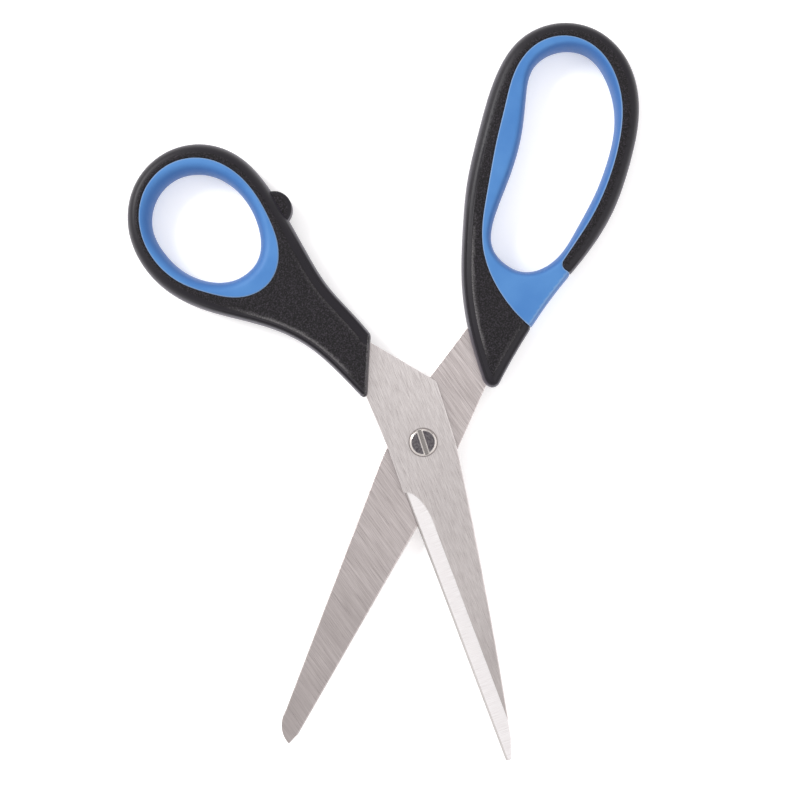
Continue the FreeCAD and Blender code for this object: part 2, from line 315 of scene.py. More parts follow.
# %% Skin a moulding
def triangles(loops, extra):
    """Points and triangles that fill the loops and use every extra point."""
    points = [Vector(p) for p in np.vstack(loops + [extra])]
    edges, start = [], 0
    for loop in loops:
        edges += [(start + i, start + (i + 1) % len(loop)) for i in range(len(loop))]
        start += len(loop)
    flat, _, faces, *_ = geometry.delaunay_2d_cdt(points, edges, [], 0, 1e-6)
    flat = np.array([tuple(p) for p in flat])
    faces = np.array([f for f in faces if len(f) == 3])
    return flat, faces[inside(flat[faces].mean(axis=1), loops)]


def skin(name, node, body, slot, loops, extra, height_of, finish_of):
    """Makes the moulding: the height map above and below the middle, and walls where an edge has height.
    The finish is kept with each point. On the black 0 is the plain side, 1 the panel, 2 its edge painted
    pale as a painted highlight and -1 the face of the nose, which is kept out of the painted reflection, and
    on the blue 0 is plain and 1 an edge painted pale as a painted highlight."""
    flat, faces = triangles(loops, extra)
    height = height_of(flat)
    mesh = bmesh.new()
    finish = mesh.verts.layers.float.new("finish")
    top = [mesh.verts.new((x * MM, y * MM, (MIDDLE + h) * MM)) for (x, y), h in zip(flat, height)]
    low = [mesh.verts.new((x * MM, y * MM, (MIDDLE - h) * MM)) if h > 1e-3 else up
           for (x, y), h, up in zip(flat, height, top)]
    for up, down, share in zip(top, low, finish_of(flat)):
        up[finish] = down[finish] = float(share)
    used = {}
    for a, b, c in faces:
        mesh.faces.new((top[a], top[b], top[c]))
        if (low[a], low[b], low[c]) != (top[a], top[b], top[c]):
            mesh.faces.new((low[c], low[b], low[a]))
        for edge in ((a, b), (b, c), (c, a)):
            used[edge] = used.get(edge, 0) + 1
    for a, b in used:
        if (b, a) not in used:
            corners = list(dict.fromkeys((top[b], top[a], low[a], low[b])))
            if len(corners) > 2:
                wall = mesh.faces.new(corners)
                for edge in wall.edges:
                    edge.smooth = False
    for face in mesh.faces:
        face.smooth = True
    bmesh.ops.recalc_face_normals(mesh, faces=mesh.faces[:])
    data = bpy.data.meshes.new(name)
    mesh.to_mesh(data)
    mesh.free()
    piece = bpy.data.objects.new(name, data)
    SCENE.collection.objects.link(piece)
    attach(piece, body)
    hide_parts(node)
    print(name, "has", len(data.vertices), "points")
    return piece


# %% [markdown]
# ## The black handles
# Each handle is hard plastic moulded round the tang of its blade. Near the blade its side is a steep wall
# that ends in a fine line, then a smooth band climbs to the raised edge of a textured panel. Towards the
# bow the wall and the band melt into one soft round, like the rim of a spoon. Both sections could be drawn
# and lofted, but the outline bends too much for that, so each is written as a height for a distance in from
# the edge, and the point's distance from the pivot blends them.

# %% The section of a black handle
WALL = 1.0  # mm taken by the steep wall and its rounded top
LINE = 1.15  # mm from the edge to the fine line
LINE_DEPTH = 0.14
BAND_CLIMB = 0.42
PANEL_EDGE = 0.33  # height of the panel's raised edge over the band


def stepped_side(out, band):
    """Height of the side near the blade, where the panel starts at band."""
    wall = (HALF - BAND_CLIMB - PANEL_EDGE) * dome(out, WALL)
    line = LINE_DEPTH * (1 - ease(np.abs(out - LINE), 0.03, 0.18))
    climb = BAND_CLIMB * np.clip((out - LINE) / (band - LINE), 0, 1)
    edge = PANEL_EDGE * ease(out, band, band + 0.26)
    return wall - line + climb + edge


def soft_side(out, band):
    return (HALF - RIM_DROP) * dome(out, band) + RIM_DROP * ease(out, band + 0.05, band + 0.5)


def square_nose(out):
    """Height behind the cut-off nose: a drafted face and a rounded edge."""
    return np.interp(out, (0.0, 0.08, 0.45, 0.58, 0.8), (0.0, 3.0, HALF - 0.5, HALF - 0.12, HALF))


print("stepped side 2 mm in:", round(float(stepped_side(np.array(2.0), 2.4)), 2), "mm")

# %% [markdown]
# ## Where the section changes
# The panel doesn't start at the same depth all round. On the bow it starts where the soft round ends, near
# the blade it starts sooner, and the thumb handle has a wide band on the side of the stop. Its nose is cut
# off square, and is found as the part of the outline near the pivot that faces it.

# %% Where the section changes
SIDE = 2.7  # mm taken by the soft round on the bow
FINGER_BAND = 2.35  # mm from the edge to the panel, near the blade
THUMB_BAND = (1.6, 2.9)  # the same, away from the stop and on its side
STOP_SIDE = np.array((-0.2, 0.98))
STEPPED = (55.0, 76.0)  # mm from the pivot between which the stepped side melts into the soft one
NOSE_REACH = 36.0  # mm from the pivot to the far end of the nose


def melted(near, loop):
    """The band near the blade turns into the soft side of the bow."""
    return near + (SIDE - near) * ease(from_pivot(loop), *STEPPED)


def finger_band(loop):
    """How far in the panel starts, for each point of the outline."""
    return melted(FINGER_BAND, loop)


def thumb_band(loop):
    narrow, wide = THUMB_BAND
    towards_stop = ease(-inward(loop) @ STOP_SIDE, -0.2, 0.6)
    return melted(narrow + (wide - narrow) * towards_stop, loop)


def nose_of(loop):
    """The part of the thumb handle's outline that is cut off square, and faces the pivot."""
    to_pivot = np.array(PIVOT.xy) / MM - loop
    facing = np.sum(-inward(loop) * to_pivot, axis=1) / from_pivot(loop)
    return (facing > 0.35) & (from_pivot(loop) < NOSE_REACH)


at_nose = nose_of(thumb_black[0])
print("nose points:", at_nose.sum())

# %% [markdown]
# ## Height and finish together
# The same distances give the height and the finish, so both are worked out side by side: the grain starts
# at the panel's edge, and the line painted pale as a painted highlight follows its ridge. The finish could
# be painted on by hand in vertex paint, but a rule keeps it exactly on the edge.

# %% Height and finish of a black handle
# The direction towards the lamp: the panel's edge is painted palest, as a painted highlight, where it faces
# this way.
LAMP_SIDE = np.array((-0.9, -0.4))
HOLLOW = 0.08  # mm that the middle of a panel lies below its edge


def highlight_along(outside):
    """How strongly the panel's edge is painted pale as a painted highlight: most on the side towards the
    lamp, and only between nose and bow.
    """
    most = 0.25 + 0.75 * ease(-inward(outside) @ LAMP_SIDE, -0.4, 0.5)
    return most * ease(from_pivot(outside), 25.0, 31.0) * (1 - ease(from_pivot(outside), 52.0, 66.0))


def black_section(outside, band, nose, seam):
    """The height and the finish of a black handle, as two functions of points."""
    highlight_share = highlight_along(outside)
    melt = ease(from_pivot(outside), *STEPPED)

    def height_of(points):
        out, nearest = distance_to(points, outside)
        start, soft = band[nearest], melt[nearest]
        height = soft * soft_side(out, start) + (1 - soft) * stepped_side(out, start)
        height = height - HOLLOW * ease(out, start + 0.5, start + 1.6)
        if nose is not None:
            height = np.minimum(height, square_nose(distance_to(points, nose)[0]))
        return grooved(height, points, seam) * (out > 1e-3)

    def finish_of(points):
        out, nearest = distance_to(points, outside)
        start = band[nearest]
        panel = ease(out, start + 0.02, start + 0.16)
        ridge = ease(out, start + 0.04, start + 0.3) - ease(out, start + 0.5, start + 1.0)
        # Towards 2 on the panel's ridge, which is painted pale as a painted highlight.
        finish = panel + highlight_share[nearest] * ridge
        if nose is None:
            return finish
        # The nose's top edge is marked 2, painted pale as a painted highlight, and its face -1, which is
        # kept out of the painted reflection.
        behind = distance_to(points, nose)[0]
        past_edge = ease(behind, 0.7, 0.9)
        at_edge = ease(behind, 0.46, 0.54) - past_edge
        return finish * past_edge + 2 * at_edge - (1 - ease(behind, 0.4, 0.48))
    return height_of, finish_of


print("the panel's middle lies", HOLLOW, "mm low")

# %% [markdown]
# ## Skinning the two handles
# The rows follow each kind of edge at the depths where its section turns. The finger handle has a seam along
# part of its outline. The thumb handle has its nose, and a seam all round its hole.

# %% Points of a black handle
BY_LINE = (-0.05, 0.0, 0.06, 0.14, 0.3)
BY_PANEL_EDGE = (-0.2, 0.0, 0.06, 0.13, 0.2, 0.28, 0.45)
BY_NOSE = (0.04, 0.08, 0.2, 0.32, 0.45, 0.52, 0.58, 0.68, 0.8, 1.0)
BY_SEAM = (0.08, 0.16, 0.24, 0.32, 0.5)
BLACK_GRID = 0.8  # mm between the loose points


def side_rows(loop, free, band):
    """Rows along a free edge: the stepped ones near the blade and the soft ones on the bow."""
    start = band(loop)
    ridge = [start + more for more in BY_PANEL_EDGE]
    stepped = across(WALL) + [LINE + more for more in BY_LINE] + ridge
    near = free & (from_pivot(loop) < STEPPED[1])
    far = free & (from_pivot(loop) > STEPPED[0])
    return [rows(loop, near, stepped), rows(loop, far, across(start) + ridge)]


print("rows by the panel's edge:", len(BY_PANEL_EDGE))

# %% Skin the finger handle
found = side_rows(finger_black[0], ~finger_seam, finger_band)
found += [rows(finger_black[0], finger_seam, BY_SEAM), grid(finger_black, BLACK_GRID)]
section = black_section(finger_black[0][~finger_seam], finger_band(finger_black[0])[~finger_seam], None,
                        finger_black[0][finger_seam])
finger_body = skin("finger_handle_moulding", "finger_handle", "finger_half", "handle_plastic", finger_black,
                   thinned(np.vstack(found), np.vstack(finger_black)), *section)

# %% Skin the thumb handle
hole = np.ones(len(thumb_black[1]), bool)
found = side_rows(thumb_black[0], ~at_nose, thumb_band)
found += [rows(thumb_black[0], at_nose, BY_NOSE), rows(thumb_black[1], hole, BY_SEAM)]
found += [grid(thumb_black, BLACK_GRID)]
section = black_section(thumb_black[0][~at_nose], thumb_band(thumb_black[0])[~at_nose],
                        thumb_black[0][at_nose], thumb_black[1])
thumb_body = skin("thumb_handle_moulding", "thumb_handle", "thumb_half", "handle_plastic", thumb_black,
                  thinned(np.vstack(found), np.vstack(thumb_black)), *section)

# %% [markdown]
# ## The blue linings
# The linings are soft rubber, moulded into the bows after the black. They are flat where they meet the
# black and then roll over into the finger holes, and the long one also runs out to the flank of its handle.

# %% Blue linings
FLANK_ROUND = 1.2  # mm taken by the rounded side of the blue flank
FLANK_RIDGE = 1.1  # mm from the flank's edge to the line that is painted pale as a painted highlight
BY_BLUE_SEAM = (0.08, 0.17, 0.26, 0.36, 0.6)
BLUE_GRID = 0.7  # mm between the loose points


def blue_section(hole_edge, seam, flank, roll):
    """The height and the finish of a lining, as two functions of points. flank is None where there is
    none, and the finish marks the seam and the flank's ridge, which are painted pale as a painted highlight."""
    def height_of(points):
        into_hole = distance_to(points, hole_edge)[0]
        height = (HALF - BLUE_DROP) * dome(into_hole, roll)
        if flank is not None:
            out = distance_to(points, flank)[0]
            height = height * dome(out, FLANK_ROUND) * (out > 1e-3)
        return grooved(height, points, seam) * (into_hole > 1e-3)

    def finish_of(points):
        share = 1 - ease(distance_to(points, seam)[0], 0.12, 0.34)
        if flank is not None:
            off_ridge = np.abs(distance_to(points, flank)[0] - FLANK_RIDGE)
            share = np.maximum(share, 0.7 - 0.7 * ease(off_ridge, 0.08, 0.3))
        return share
    return height_of, finish_of


def blue_points(loops, seam, flank, roll):
    found = [rows(loops[1], np.ones(len(loops[1]), bool), across(roll))]
    found.append(rows(loops[0], seam, BY_BLUE_SEAM))
    if flank.any():
        found.append(rows(loops[0], flank, across(FLANK_ROUND)))
    found.append(grid(loops, BLUE_GRID))
    return thinned(np.vstack(found), np.vstack(loops))


# %% Skin the blue linings
FINGER_ROLL, THUMB_ROLL = 2.0, 3.0  # mm that the rubber takes to roll over into the hole
finger_lining = skin("finger_grip_moulding", "finger_grip", "finger_half", "grip_rubber", finger_blue,
                     blue_points(finger_blue, ~finger_flank, finger_flank, FINGER_ROLL),
                     *blue_section(finger_blue[1], finger_blue[0][~finger_flank],
                                   finger_blue[0][finger_flank], FINGER_ROLL))
whole = np.ones(len(thumb_blue[0]), bool)
thumb_lining = skin("thumb_grip_moulding", "thumb_grip", "thumb_half", "grip_rubber", thumb_blue,
                    blue_points(thumb_blue, whole, ~whole, THUMB_ROLL),
                    *blue_section(thumb_blue[1], thumb_blue[0], None, THUMB_ROLL))

# %% [markdown]
# ## The closing stop
# The half-round stop on the thumb handle is moulded with it. Its edge shows on the cut through the middle
# of the handle and not on the one above, so the points that only the lower cut has lie on its arc, and
# the circle through them gives its centre and radius. It is turned as a solid of revolution, with rounded
# edges, and the handle hides the half of it that lies within.

# %% Find the stop
CLEAR_OF_HANDLE = 1.2  # mm


def circle_through(arc):
    """Centre and radius of the circle that fits an arc's points best."""
    known = np.column_stack([arc * 2, np.ones(len(arc))])
    x, y, rest = np.linalg.lstsq(known, np.sum(arc ** 2, axis=1), rcond=None)[0]
    return x, y, math.sqrt(rest + x ** 2 + y ** 2)


lower = outlines("thumb_handle", MIDDLE)[0]
arc = lower[distance_to(lower, thumb_black[0])[0] > CLEAR_OF_HANDLE]
stop_x, stop_y, stop_radius = circle_through(arc)
print("closing stop radius", round(stop_radius, 2), "mm")

# %% Turn the stop
STOP_HALF = 2.8  # mm from the middle to its flat
STOP_ROUND = 0.7
GRAIN_ENDS = (1.2, 0.9)  # mm from the edge
SIDES = 96

# each point of the profile has a radius, a height and a finish
profile = [(0.0, STOP_HALF, 1.0)]
profile += [(stop_radius - GRAIN_ENDS[0], STOP_HALF, 1.0), (stop_radius - GRAIN_ENDS[1], STOP_HALF, 0.0)]
profile += [(stop_radius - STOP_ROUND * (1 - math.sin(turn)), STOP_HALF - STOP_ROUND * (1 - math.cos(turn)),
             0.0) for turn in TURNS]
profile += [(radius, -height, finish) for radius, height, finish in reversed(profile)]

mesh = bmesh.new()
finish_layer = mesh.verts.layers.float.new("finish")
rings = []
for radius, height, finish in profile:
    angles = [i * math.tau / SIDES for i in range(SIDES if radius else 1)]
    ring = [mesh.verts.new(((stop_x + radius * math.cos(angle)) * MM,
                            (stop_y + radius * math.sin(angle)) * MM, (MIDDLE + height) * MM))
            for angle in angles]
    for vert in ring:
        vert[finish_layer] = finish
    rings.append(ring)
for upper, under in zip(rings, rings[1:]):
    for i in range(SIDES):
        corners = (upper[i % len(upper)], under[i % len(under)],
                   under[(i + 1) % len(under)], upper[(i + 1) % len(upper)])
        mesh.faces.new(list(dict.fromkeys(corners))).smooth = True
bmesh.ops.recalc_face_normals(mesh, faces=mesh.faces[:])
data = bpy.data.meshes.new("closing_stop")
mesh.to_mesh(data)
mesh.free()
closing_stop = bpy.data.objects.new("closing_stop", data)
SCENE.collection.objects.link(closing_stop)
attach(closing_stop, "thumb_half")
print("closing stop has", len(data.vertices), "points")

# %% [markdown]
# ## Building materials from nodes
# Every finish below is a few nodes feeding one Principled shader. One helper adds any node, sets it up and
# joins it to what feeds it, so that each material reads as a list of what it is made of.

# %% One helper for every node
def add(tree, kind, feeds=None, **settings):
    """Adds a node, with its settings, and feeds its sockets with values or with other nodes' sockets."""
    node = tree.nodes.new(kind)
    for key, value in settings.items():
        setattr(node, key, value)
    for socket, value in (feeds or {}).items():
        if isinstance(value, bpy.types.NodeSocket):
            tree.links.new(value, node.inputs[socket])
        else:
            node.inputs[socket].default_value = value
    return node


def new_material(name):
    """An empty material, its node tree and its Principled shader."""
    material = bpy.data.materials.new(name)
    material.use_nodes = True
    tree = material.node_tree
    return material, tree, tree.nodes["Principled BSDF"]


def paint(piece, material):
    piece.data.materials.clear()
    piece.data.materials.append(material)


def steepness(tree, low, high, normal=None):
    """0 where the surface is nearer level than low, 1 where it is nearer upright than high: both are the
    upright part of its normal."""
    normal = normal or add(tree, "ShaderNodeNewGeometry").outputs["Normal"]
    upright = add(tree, "ShaderNodeSeparateXYZ", {0: normal}).outputs[2]
    either_way = add(tree, "ShaderNodeMath", {0: upright}, operation="ABSOLUTE").outputs[0]
    return add(tree, "ShaderNodeMapRange", {0: either_way, 1: low, 2: high}).outputs[0]


print("helpers ready")

# %% [markdown]
# ## Black ABS with spark-eroded panels
# The handles are ABS, injection moulded. The panels copy a spark-eroded mould, which leaves fine, sharp
# grains that sparkle a little, while the rims copy a polished mould and have a satin gloss. The raised edge
# of the panels is painted pale as a painted highlight, and the steep sides paler as a painted reflection.
# The real grains are about 0.15 mm; they are drawn at about 0.32 mm, or they would be too fine to show.

# %% Black ABS
GRAIN = 0.32 * MM


def black_abs():
    material, tree, shader = new_material("black_abs_spark_eroded")
    place = add(tree, "ShaderNodeTexCoord").outputs["Object"]
    finish = add(tree, "ShaderNodeAttribute", attribute_name="finish").outputs["Fac"]
    panel = add(tree, "ShaderNodeMapRange", {0: finish}).outputs[0]
    # Finish 2 marks the panel's ridge and the nose's edge, which are painted pale here as a painted
    # highlight.
    painted_pale_edge = add(tree, "ShaderNodeMapRange", {0: finish, 1: 1.0, 2: 2.0, 4: 0.8}).outputs[0]
    grains = add(tree, "ShaderNodeTexVoronoi", {"Vector": place, "Scale": 1 / GRAIN, "Randomness": 1.0})
    pits = add(tree, "ShaderNodeTexNoise", {"Vector": place, "Scale": 0.8 / GRAIN, "Detail": 4.0})
    relief = add(tree, "ShaderNodeMath", {0: grains.outputs["Distance"], 1: pits.outputs["Fac"]},
                 operation="ADD")
    flow = add(tree, "ShaderNodeTexNoise", {"Vector": place, "Scale": 60.0, "Detail": 2.0})
    strength = add(tree, "ShaderNodeMapRange", {0: panel, 3: 0.05, 4: 0.85}).outputs[0]
    bump = add(tree, "ShaderNodeBump", {"Strength": strength, "Distance": 0.2 * MM,
                                        "Height": relief.outputs[0]})
    speck = add(tree, "ShaderNodeMapRange", {0: pits.outputs["Fac"], 1: 0.46, 2: 0.66})
    amount = add(tree, "ShaderNodeMath", {0: speck.outputs[0], 1: panel}, operation="MULTIPLY")
    grained = add(tree, "ShaderNodeMix", {0: amount.outputs[0], 6: linear("#030203"), 7: linear("#2F2A31")},
                  data_type="RGBA")
    clean = add(tree, "ShaderNodeMix", {0: panel, 6: linear("#17141A"), 7: grained.outputs[2]},
                data_type="RGBA")
    # The colour of that painted highlight, mottled by the grain.
    edge_detail = add(tree, "ShaderNodeMapRange", {0: pits.outputs["Fac"], 1: 0.2, 2: 0.8}).outputs[0]
    edge_highlight = add(tree, "ShaderNodeMix", {0: edge_detail, 6: linear("#2A282A"), 7: linear("#7A7778")},
               data_type="RGBA")
    edged = add(tree, "ShaderNodeMix", {0: painted_pale_edge, 6: clean.outputs[2], 7: edge_highlight.outputs[2]},
                data_type="RGBA")
    # The steep sides, but not the nose's face, are painted paler as a painted reflection.
    not_nose = add(tree, "ShaderNodeMapRange", {0: finish, 1: -1.0, 2: 0.0}).outputs[0]
    painted_side_sheen = add(tree, "ShaderNodeMath", {0: steepness(tree, 0.6, 0.2), 1: not_nose}, operation="MULTIPLY")
    colour = add(tree, "ShaderNodeMix", {0: painted_side_sheen.outputs[0], 6: edged.outputs[2], 7: linear("#393640")},
                 data_type="RGBA")
    rough = add(tree, "ShaderNodeMapRange", {0: panel, 3: 0.36, 4: 0.56})
    cloudy = add(tree, "ShaderNodeMath", {0: rough.outputs[0], 1: flow.outputs["Fac"]}, operation="MULTIPLY")
    level = add(tree, "ShaderNodeMath", {0: cloudy.outputs[0], 1: 0.35, 2: rough.outputs[0]},
                operation="MULTIPLY_ADD")
    tree.links.new(colour.outputs[2], shader.inputs["Base Color"])
    tree.links.new(level.outputs[0], shader.inputs["Roughness"])
    tree.links.new(bump.outputs[0], shader.inputs["Normal"])
    shader.inputs["IOR"].default_value = 1.53
    shader.inputs["Specular IOR Level"].default_value = 0.24
    shader.inputs["Sheen Weight"].default_value = 0.10
    shader.inputs["Sheen Roughness"].default_value = 0.35
    shader.inputs["Sheen Tint"].default_value = linear("#D0C8DC")
    return material


abs_finish = black_abs()
for piece in (finger_body, thumb_body, closing_stop):
    paint(piece, abs_finish)
print("grain drawn at", GRAIN / MM, "mm")

# %% [markdown]
# ## Blue thermoplastic rubber
# The linings are thermoplastic rubber, moulded against a finely blasted mould. It is matt, with a fine grain
# that only shows up close. Dust varies the tone a little from place to place. The rolled insides are painted
# a deeper blue as painted shade, and the seams and the flank's ridge are painted pale as a painted
# highlight.

# %% Blue rubber
def blue_rubber():
    material, tree, shader = new_material("blue_thermoplastic_rubber")
    place = add(tree, "ShaderNodeTexCoord").outputs["Object"]
    fine = add(tree, "ShaderNodeTexNoise", {"Vector": place, "Scale": 1 / (0.35 * MM), "Detail": 3.0})
    clouds = add(tree, "ShaderNodeTexNoise", {"Vector": place, "Scale": 90.0, "Detail": 3.0})
    bump = add(tree, "ShaderNodeBump", {"Strength": 0.25, "Distance": 0.1 * MM,
                                        "Height": fine.outputs["Fac"]})
    tone = add(tree, "ShaderNodeMapRange", {0: clouds.outputs["Fac"], 1: 0.35, 2: 0.65})
    dusty = add(tree, "ShaderNodeMix", {0: tone.outputs[0], 6: linear("#326BA8"), 7: linear("#3E75AF")},
                data_type="RGBA")
    # The rolled insides and other slopes are painted a deeper blue, as painted shade.
    rolled = steepness(tree, 0.97, 0.6)
    plain = add(tree, "ShaderNodeMix", {0: rolled, 6: dusty.outputs[2], 7: linear("#275E9C")},
                data_type="RGBA")
    # The seam and the flank's ridge are painted pale, as a painted highlight.
    painted_pale_edge = add(tree, "ShaderNodeAttribute", attribute_name="finish").outputs["Fac"]
    edge_highlight = add(tree, "ShaderNodeMath", {0: painted_pale_edge, 1: 0.4}, operation="MULTIPLY").outputs[0]
    colour = add(tree, "ShaderNodeMix", {0: edge_highlight, 6: plain.outputs[2], 7: linear("#9FB4C6")},
                 data_type="RGBA")
    rough = add(tree, "ShaderNodeMapRange", {0: fine.outputs["Fac"], 3: 0.5, 4: 0.66})
    tree.links.new(colour.outputs[2], shader.inputs["Base Color"])
    tree.links.new(rough.outputs[0], shader.inputs["Roughness"])
    tree.links.new(bump.outputs[0], shader.inputs["Normal"])
    shader.inputs["IOR"].default_value = 1.49
    shader.inputs["Sheen Weight"].default_value = 0.15
    shader.inputs["Sheen Roughness"].default_value = 0.5
    return material


rubber = blue_rubber()
for piece in (finger_lining, thumb_lining):
    paint(piece, rubber)
print("rubber painted")

# %% [markdown]
# ## Stainless steel blades
# The blades are stamped from stainless strip. A belt brushes the outer face along the blade, and a wheel
# grinds the bevel and the inner face across it. Both leave long fine scratches, so one material is made for
# each blade from noise stretched along the scratches. The bevel is told from the flat face by its slope:
# it lies about 18 degrees off level, so the upright part of its normal is 0.95 and the flat face's is 1.
# The press leaves the rims of the strip torn, and they are told by their slope too; they are painted dark as
# painted shade. Their corners are rolled over a little, which the Bevel node shows without changing the
# steel, and they are painted bright as a painted highlight. A thin painted shade lies along the cutting
# edge, the faces are darker towards the tips, and a ring of painted shadow lies round the screw's head.

# %% Scratches in steel
def scratches(tree, place, heading, width, length):
    """Noise drawn out along a heading, in degrees from +X: scratches of this width and length in mm."""
    turned = add(tree, "ShaderNodeMapping", {"Vector": place, "Rotation": (0, 0, -math.radians(heading))},
                 vector_type="POINT")
    per_metre = (1 / (length * MM), 1 / (width * MM), 1 / (length * MM))
    drawn = add(tree, "ShaderNodeMapping", {"Vector": turned.outputs[0], "Scale": per_metre})
    return add(tree, "ShaderNodeTexNoise", {"Vector": drawn.outputs[0], "Scale": 1.0, "Detail": 4.0,
                                            "Roughness": 0.65}).outputs["Fac"]


print("scratch helper ready")

# %% The colour of ground steel
DULL_FROM, DULL_TO = -10.0, 80.0  # mm from the screw towards the tip
SCREW_HEAD = (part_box("pivot_screw")[1][0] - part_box("pivot_screw")[0][0]) / 2
HEAD_SHADOW_RING = (0.1, 0.4)  # mm out from the screw's head, where a ring of painted shadow lies


def ground_colour(tree, place, lines, bevel, heading, dark, light, bevel_dark):
    """The face grows darker towards the tip, which lies at this heading, and in random spots, while the
    bevel stays bright.
    """
    tone = add(tree, "ShaderNodeMapRange", {0: lines, 1: 0.36, 2: 0.64}).outputs[0]
    face = add(tree, "ShaderNodeMix", {0: tone, 6: linear(dark), 7: linear(light)}, data_type="RGBA")
    bright = add(tree, "ShaderNodeMix", {0: tone, 6: linear(bevel_dark), 7: linear("#F9F6F6")},
                 data_type="RGBA")
    from_screw = add(tree, "ShaderNodeVectorMath", {0: place, 1: tuple(PIVOT)},
                     operation="SUBTRACT").outputs[0]
    way = (math.cos(math.radians(heading)), math.sin(math.radians(heading)), 0)
    along = add(tree, "ShaderNodeVectorMath", {0: from_screw, 1: way}, operation="DOT_PRODUCT")
    # The face is mixed darker towards the tip.
    towards_tip = add(tree, "ShaderNodeMapRange", {0: along.outputs["Value"], 1: DULL_FROM * MM,
                                               2: DULL_TO * MM, 4: 0.55}).outputs[0]
    drift = add(tree, "ShaderNodeTexNoise", {"Vector": place, "Scale": 38.0, "Detail": 4.0}).outputs["Fac"]
    spots = add(tree, "ShaderNodeMapRange", {0: drift, 1: 0.35, 2: 0.75, 3: 0.0, 4: 0.2}).outputs[0]
    darkening = add(tree, "ShaderNodeMath", {0: towards_tip, 1: spots}, operation="ADD").outputs[0]
    darkened_face = add(tree, "ShaderNodeMix", {0: darkening, 6: face.outputs[2], 7: linear("#A39B99")},
               data_type="RGBA")
    return add(tree, "ShaderNodeMix", {0: bevel, 6: darkened_face.outputs[2], 7: bright.outputs[2]},
               data_type="RGBA").outputs[2]


def head_shadowed(tree, place, colour):
    """A ring of painted shadow round the screw's head."""
    across_axis = add(tree, "ShaderNodeVectorMath", {0: place, 1: tuple(PIVOT)},
                      operation="SUBTRACT").outputs[0]
    flat_off = add(tree, "ShaderNodeMapping", {"Vector": across_axis, "Scale": (1, 1, 0)}).outputs[0]
    reach = add(tree, "ShaderNodeVectorMath", {0: flat_off}, operation="LENGTH").outputs["Value"]
    head_shadow = add(tree, "ShaderNodeMapRange", {0: reach, 1: SCREW_HEAD + HEAD_SHADOW_RING[0] * MM,
                                           2: SCREW_HEAD + HEAD_SHADOW_RING[1] * MM, 3: 0.75, 4: 0.0}).outputs[0]
    return add(tree, "ShaderNodeMix", {0: head_shadow, 6: colour, 7: linear("#5A524F")},
               data_type="RGBA").outputs[2]


print("screw head radius", round(SCREW_HEAD / MM, 2), "mm")

# %% The edges of ground steel
STEEL_ROUND = 0.45 * MM  # drawn wider than a real round of 0.1 mm, or it would not show


def edged(tree, colour, bevel, rolled):
    """The rolled corners are painted bright as a painted highlight, the upright rims are painted dark as
    painted shade, and a thin painted shade lies along the cutting edge.
    """
    turning = steepness(tree, 0.93, 0.8, rolled)
    corner_highlight_share = add(tree, "ShaderNodeMath", {0: turning, 1: 0.6}, operation="MULTIPLY").outputs[0]
    corner_highlight = add(tree, "ShaderNodeMix", {0: corner_highlight_share, 6: colour, 7: linear("#F6F1EE")}, data_type="RGBA")
    # A thin painted shade along the cutting edge, where the rolled corner meets the bevel.
    on_bevel = add(tree, "ShaderNodeMath", {0: turning, 1: bevel}, operation="MULTIPLY").outputs[0]
    edge_line_shade = add(tree, "ShaderNodeMath", {0: on_bevel, 1: 0.5}, operation="MULTIPLY").outputs[0]
    # The upright rims are painted dark as painted shade, and so is the line along the cutting edge.
    painted_dark = add(tree, "ShaderNodeMath", {0: steepness(tree, 0.5, 0.15), 1: edge_line_shade},
               operation="MAXIMUM").outputs[0]
    return add(tree, "ShaderNodeMix", {0: painted_dark, 6: corner_highlight.outputs[2], 7: linear("#4E4846")},
               data_type="RGBA").outputs[2]


def ground_steel(name, tip_heading, face_heading, bevel_heading, width, length, dark, light, bevel_dark):
    """Headings are in degrees from +X, and the width and length of the face's scratches are in mm."""
    material, tree, shader = new_material(name)
    place = add(tree, "ShaderNodeTexCoord").outputs["Object"]
    bevel = steepness(tree, 0.985, 0.965)
    face_lines = scratches(tree, place, face_heading, width, length)
    bevel_lines = scratches(tree, place, bevel_heading, 0.10, 6.0)
    lines = add(tree, "ShaderNodeMix", {0: bevel, 2: face_lines, 3: bevel_lines}).outputs[0]
    rolled = add(tree, "ShaderNodeBevel", {"Radius": STEEL_ROUND}, samples=8).outputs["Normal"]
    colour = ground_colour(tree, place, lines, bevel, tip_heading, dark, light, bevel_dark)
    colour = edged(tree, head_shadowed(tree, place, colour), bevel, rolled)
    rough = add(tree, "ShaderNodeMapRange", {0: lines, 1: 0.3, 2: 0.7, 3: 0.26, 4: 0.40})
    bump = add(tree, "ShaderNodeBump", {"Strength": 0.35, "Distance": 0.03 * MM, "Height": lines,
                                        "Normal": rolled})
    tree.links.new(colour, shader.inputs["Base Color"])
    tree.links.new(rough.outputs[0], shader.inputs["Roughness"])
    tree.links.new(bump.outputs[0], shader.inputs["Normal"])
    shader.inputs["Metallic"].default_value = 1.0
    return material


print("steel ready")

# %% Finish the blades
OPENING = 39.3  # degrees between the halves at rest
TURN_DEGREES = 24.1  # from +Y to the direction that the camera holds upright


def rub_edges(node, width, segments):
    """A small real round on the sharp edges, of this width in mm."""
    edge_detail = frame["nodes"][node].modifiers.new("edges_rubbed_smooth", "BEVEL")
    edge_detail.width = width * MM
    edge_detail.segments = segments
    edge_detail.limit_method = "ANGLE"
    edge_detail.angle_limit = math.radians(35)


